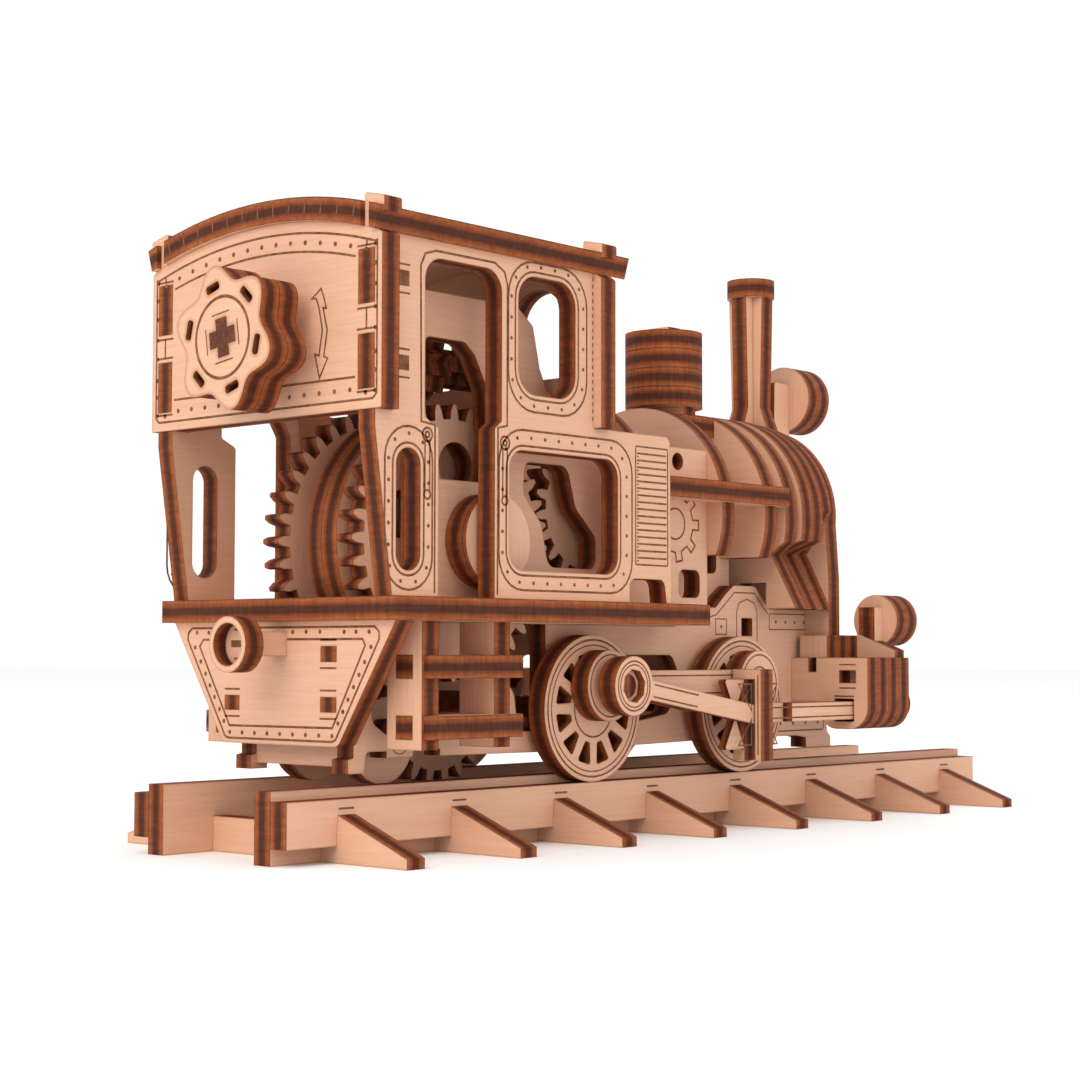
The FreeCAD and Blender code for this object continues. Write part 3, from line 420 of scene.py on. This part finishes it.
# rear panel of the cab
k = Marks("marks_rear_panel", "chassis", "X", -0.23, -1)
N = 24
k.line([(21.5 * (1 - 2 * i / N), arch(21.5 * (1 - 2 * i / N), -1.5)) for i in range(N + 1)]
       + [(-21.9, 77.0), (-21.9, 58.0), (-21.2, 57.4), (21.2, 57.4), (21.9, 58.0), (21.9, 77.0)], True)
k.line([(18.0 * (1 - 2 * i / N), arch(18.0 * (1 - 2 * i / N), -3.9)) for i in range(N + 1)])
k.line([(18.0, 60.3), (-18.0, 60.3)])
for i in range(15):
    y = 19.9 - i * 2.843
    k.dot(y, arch(y, -2.75), 0.32)
    k.dot(y, 58.75 if abs(y) < 19 else 58.2, 0.32)
for s in (1, -1):
    for z in (76.6, 68.75, 66.15, 58.35):
        k.line([(s * 21.6, z), (s * 18.3, z)], w=0.28)
        k.dot(s * 21.6, z, 0.3)
    k.line([(s * 20.0, 76.6), (s * 20.0, 77.2)])
    k.line([(s * 20.0, 66.15), (s * 20.0, 68.75)])
    for z in (74.2, 71.6, 63.2, 60.9):
        k.dot(s * 21.6, z, 0.3)
ar = [(-11.6, 72.1), (-9.9, 71.0), (-10.7, 70.9), (-11.2, 69.8), (-11.9, 66.8), (-11.3, 63.6), (-10.5, 63.8), (-11.4, 60.7),
      (-12.9, 63.1), (-12.2, 63.4), (-12.8, 66.7), (-12.0, 69.6), (-12.6, 69.5), (-12.2, 70.8)]
k.line(ar, True, 0.26)
k.done()

# lower rear panel
k = Marks("marks_lower_panel", "chassis", "X", 3.35, -1)
k.line([(18.05, 29.35), (-18.0, 29.35), (-18.8, 28.7), (-18.85, 27.8), (-10.9, 15.0), (-10.2, 14.75), (10.2, 14.75), (10.9, 15.0),
        (18.95, 27.8), (18.85, 28.7)], True)
k.line([(15.6, 27.8), (-15.8, 27.8), (-16.3, 27.0), (-10.3, 16.5), (10.0, 16.4), (16.4, 26.9)], True)
for y, z in ([(17.0, 28.75), (14.5, 28.75), (-2.6, 28.75), (-5.2, 28.75), (-7.85, 28.75), (-12.4, 28.7), (-14.6, 28.7), (-17.0, 28.7),
              (17.4, 26.75), (16.15, 24.85), (15.1, 23.2), (14.15, 21.65), (13.15, 20.1), (12.1, 18.5), (11.15, 16.95),
              (-17.35, 26.8), (-16.2, 24.9), (-15.2, 23.3), (-14.2, 21.75), (-13.2, 20.15), (-12.25, 18.6), (-11.35, 17.1)]
             + [(9.9 - 2.52 * i, 15.5) for i in range(9)]):
    k.dot(y, z, 0.3)
for s in (1, -1):
    for z in (27.7, 24.1, 21.25, 17.65):
        k.line([(s * 7.9, z), (s * 11.0, z)], w=0.26)
k.done()

# cab sides and the panels beside them, the same on both sides
for nm, s in (("right", -1), ("left", 1)):
    k = Marks("marks_cab_side_" + nm, "chassis", "Y", s * 21.49, s)
    k.rrect(25.3, 59.8, 38.0, 77.0, 3.9)
    k.rrect(23.95, 58.15, 39.75, 78.3, 5.0)
    k.dots_on(rr(24.55, 58.95, 39.0, 77.75, 4.5), 2.75)
    k.rrect(23.6, 36.3, 47.0, 53.5, 3.2)
    k.rrect(22.2, 34.35, 49.5, 55.6, 4.6)
    k.dots_on(rr(22.9, 35.3, 48.3, 54.6, 3.9), 2.75)
    k.rrect(2.95, 35.7, 8.4, 52.3, 2.6)
    k.rrect(1.6, 33.9, 9.9, 54.4, 4.1)
    k.dots_on(rr(2.25, 34.7, 9.2, 53.5, 3.4), 2.7)
    k.line([(10.35, 33.6), (10.35, 54.9), (7.9, 55.2), (7.7, 75.0), (8.5, 76.6), (10.4, 77.2), (21.3, 77.2), (23.2, 76.2),
            (23.75, 74.6), (23.75, 55.9), (22.0, 55.5), (21.95, 33.6)])
    for x in (9.0, 23.35):
        k.circle(x, 53.6, 0.85)
        k.circle(x, 53.6, 0.35)
        k.circle(x, 46.0, 0.55)
        for d in (-0.42, 0.42):
            k.line([(x + d, 52.8), (x + d, 46.5)], w=0.24)
    for z0, z1 in ((71.97, 73.95), (61.35, 63.25)):
        k.fill([(3.95, z0), (5.7, z0), (5.7, z1), (3.95, z1)])
        k.line([(3.8, z0 - 0.9), (5.8, z0 - 0.9)], w=0.26)
        k.line([(3.8, z1 + 0.75), (5.8, z1 + 0.75)], w=0.26)
    for i in range(20):
        z = 58.0 + i * 1.02
        k.line([(41.0, z), (41.0, z + 0.55)], w=0.2)
    k.rrect(50.3, 38.5, 57.5, 55.2, 0.25, 0.24)
    for i in range(1, 17):
        z = 38.5 + i * 16.7 / 17
        k.line([(50.6, z), (57.2, z)], w=0.26)
        k.line([(50.6, z - 0.45), (51.0, z - 0.45)], w=0.18)
    k.done()

    # frames
    k = Marks("marks_frame_" + nm, "chassis", "Y", s * 11.0, s)
    k.rrect(98.0, 13.6, 111.6, 15.9, 0.4, 0.22)
    for i in range(4):
        k.dot(99.5 + i * 3.5, 14.8, 0.28)
    k.line([(87.9, 26.5), (87.9, 32.6), (88.6, 34.0), (90.6, 34.6), (92.6, 34.0), (93.3, 32.6), (93.3, 26.5)], w=0.2)
    k.line([(80.5, 31.6), (82.6, 32.0), (85.4, 34.1), (87.4, 35.6), (92.6, 35.6), (94.4, 33.9), (96.2, 32.4)], w=0.2)
    k.line([(96.6, 29.9), (108.0, 29.9), (108.0, 32.4), (96.6, 32.4)], True, 0.18)
    for i in range(4):
        k.dot(98.4 + i * 2.6, 31.1, 0.26)
    k.line([(82.5, 29.0), (85.3, 29.0), (85.3, 31.4), (82.5, 31.4)], True, 0.18)
    k.dot(83.9, 30.2, 0.26)
    k.done()

    # inner plate: cog drawing
    k = Marks("marks_gear_plate_" + nm, "chassis", "Y", s * 14.0, s)
    cx, cz, n = 68.7, 45.4, 9
    pts = []
    for i in range(n):
        a = 2 * math.pi * i / n
        for r, d in ((4.3, -0.17), (5.7, -0.13), (5.7, 0.13), (4.3, 0.17)):
            pts.append((cx + r * math.cos(a + d), cz + r * math.sin(a + d)))
    k.line(pts, True, 0.3)
    k.circle(cx, cz, 2.3, 0.3)
    k.done()

    # rails and sleepers
    k = Marks("marks_rail_" + nm, "track", "Y", s * 15.02, s)
    for i in range(8):
        x = i * 20.14
        k.line([(x + 0.2, 6.75), (x + 2.8, 6.75)], w=0.26)
    k.done()

    # cylinders: slide bar slot marks on the rear face
    k = Marks("marks_cylinder_" + nm, "chassis", "X", 102.6, -1)
    k.line([(s * 20.3, 24.3), (s * 23.4, 24.3)], w=0.22)
    k.line([(s * 20.3, 20.6), (s * 23.4, 20.6)], w=0.22)
    k.line([(s * 19.3, 19.3), (s * 23.1, 19.3)], w=0.24)
    k.done()

    # wheels
    for body, ax in (("rear_wheelset", AX_R), ("front_wheelset", AX_F)):
        k = Marks("marks_wheel_%s_%s" % (body.split("_")[0], nm), body, "Y", s * 15.2, s, w=0.24)
        k.circle(ax[0], ax[1], 9.65, 0.28)
        k.circle(ax[0], ax[1], 8.9, 0.2)
        k.circle(ax[0], ax[1], 4.06, 0.26)
        k.done()

    # rods
    k = Marks("marks_coupling_rod_" + nm, "coupling_rod_" + nm, "Y", s * 18.45, s, w=0.24)
    for ax in (AX_R, AX_F):
        k.circle(ax[0], PIN_Z, 4.35)
        k.circle(ax[0], PIN_Z, 2.5)
    k.line([(AX_R[0] + 5.2, PIN_Z + 1.3), (AX_F[0] - 5.2, PIN_Z + 1.3), (AX_F[0] - 5.2, PIN_Z - 1.3), (AX_R[0] + 5.2, PIN_Z - 1.3)], True, 0.22)
    k.done()
    tilt = math.atan2(16.9 - PIN_Z, 77.2 - AX_R[0])
    L = math.hypot(16.9 - PIN_Z, 77.2 - AX_R[0])
    rot = lambda u, v: (AX_R[0] + u * math.cos(tilt) - v * math.sin(tilt), PIN_Z + u * math.sin(tilt) + v * math.cos(tilt))
    k = Marks("marks_connecting_rod_" + nm, "connecting_rod_" + nm, "Y", s * 22.7, s, w=0.24)
    k.circle(AX_R[0], PIN_Z, 3.45)
    k.circle(AX_R[0], PIN_Z, 2.95, 0.2)
    k.line([rot(4.4, 0.85), rot(14.6, 0.85)])
    k.line([rot(4.4, -0.85), rot(14.6, -0.85)])
    k.done()
    k = Marks("marks_crosshead_" + nm, "crosshead_" + nm, "Y", s * 22.7, s, w=0.24)
    k.line([(72.6, 21.5), (75.8, 21.5), (75.8, 17.6)], True)
    k.line([(72.6, 12.5), (75.8, 12.5), (75.8, 16.2)], True)
    k.line([(82.3, 21.5), (79.8, 21.5), (79.8, 18.2)], True)
    k.line([(82.3, 12.5), (79.8, 12.5), (79.8, 16.0)], True)
    k.line([(80.2, 17.9), (105.5, 17.85)])
    k.line([(80.2, 16.3), (105.5, 16.35)])
    k.done()
    k = Marks("marks_crossbar_" + nm, "crosshead_" + nm, "X", 76.3, -1, w=0.22)
    k.line([(s * 23.55, 11.0), (s * 23.55, 22.8)])
    k.done()

# knob face
k = Marks("marks_knob", "winder", "X", -9.0, -1, w=0.30)
k.circle(KY, KZ, 5.2, 0.42)
for a in (-8, 82, 172, 262):
    c, s_ = math.cos(math.radians(a)), math.sin(math.radians(a))
    k.line([(KY + 3.1 * c - 1.7 * s_, KZ + 3.1 * s_ + 1.7 * c), (KY + 3.1 * c + 1.7 * s_, KZ + 3.1 * s_ - 1.7 * c)], w=0.2)
k.done()

# kerf lines across the roof edge, drawn as burnt marks (on the real roof they let it bend)
k = Marks("marks_roof_rear", "chassis", "X", -1.0, -1, w=0.22)
for i in range(13):
    y = -18.0 + i * 3.0
    t = math.asin(y / ROOF_R)
    k.line([((ROOF_R + 0.9) * math.sin(t), ROOF_C + (ROOF_R + 0.9) * math.cos(t)),
            ((ROOF_R + 3.0) * math.sin(t), ROOF_C + (ROOF_R + 3.0) * math.cos(t))])
k.done()

# tail lamp core
k = Marks("marks_tail_lamp", "chassis", "X", -3.4, -1, w=0.5)
k.line([(-1.6, 27.2), (1.6, 27.2)], w=0.9)
k.line([(-1.0, 29.0), (1.0, 29.0)], w=0.25)
k.line([(-1.0, 25.3), (1.0, 25.3)], w=0.25)
k.done()

# ------------------------------------------------------------------ floor, light, camera
bpy.ops.mesh.primitive_plane_add(size=6.0, location=(0, 0, -0.00002))
floor = bpy.context.object
floor.name = "floor"
t = Tree("pale_floor")
tc = t.node("ShaderNodeTexCoord")
nz = t.noise(tc.outputs["Object"], 3.0, 1.0)
c = t.mix(nz, (0.93, 0.93, 0.94), (0.95, 0.95, 0.955))
b = t.node("ShaderNodeBsdfPrincipled")
t.link(c, b.inputs["Base Color"])
b.inputs["Roughness"].default_value = 0.9
b.inputs["Specular IOR Level"].default_value = 0.0
t.link(b.outputs[0], t.out.inputs[0])
floor.data.materials.append(t.mat)

world = bpy.data.worlds.new("studio")
bpy.context.scene.world = world
world.use_nodes = True
bg = world.node_tree.nodes["Background"]
bg.inputs[0].default_value = (1.0, 1.0, 1.0, 1.0)
bg.inputs[1].default_value = 1.02


def area(name, loc, aim, size, power, col=(1, 1, 1)):
    li = bpy.data.lights.new(name, "AREA")
    li.shape = "SQUARE"
    li.size = size
    li.energy = power
    li.color = col
    o = bpy.data.objects.new(name, li)
    bpy.context.scene.collection.objects.link(o)
    o.location = loc
    d = Vector(aim) - Vector(loc)
    o.rotation_euler = d.to_track_quat("-Z", "Y").to_euler()
    return o


area("key", (-0.75, -0.15, 0.55), (0, 0, 0.04), 0.5, 3.0, (1.0, 0.92, 0.80))
area("side", (-0.1, -0.9, 0.45), (0, 0, 0.04), 0.7, 0.7, (0.98, 0.99, 1.0))
area("top", (0.1, 0.1, 1.0), (0, 0, 0.03), 0.8, 0.9)

yaw, pitch, roll = math.radians(42.0805), math.radians(3.1102), math.radians(0.0751)
fwd = Vector((math.cos(yaw) * math.cos(pitch), math.sin(yaw) * math.cos(pitch), math.sin(pitch)))
right = Vector((math.sin(yaw), -math.cos(yaw), 0))
up = right.cross(fwd)
r2 = right * math.cos(roll) + up * math.sin(roll)
u2 = up * math.cos(roll) - right * math.sin(roll)
cam = bpy.data.cameras.new("camera")
cam.sensor_width = 36.0
cam.lens = 36.0 * 2092.065 / 1080.0
cam.clip_start, cam.clip_end = 0.01, 20.0
cam.dof.use_dof = False
co = bpy.data.objects.new("camera", cam)
bpy.context.scene.collection.objects.link(co)
rot = Matrix((r2, u2, -fwd)).transposed().to_4x4()
co.matrix_world = Matrix.Translation(Vector((-0.17668279 - XC / 1000, -0.20832185, 0.02597294))) @ rot
bpy.context.scene.camera = co

sc = bpy.context.scene
sc.view_settings.view_transform = "Standard"
sc.view_settings.look = "None"
sc.view_settings.exposure = 0.0
sc.view_settings.gamma = 1.0
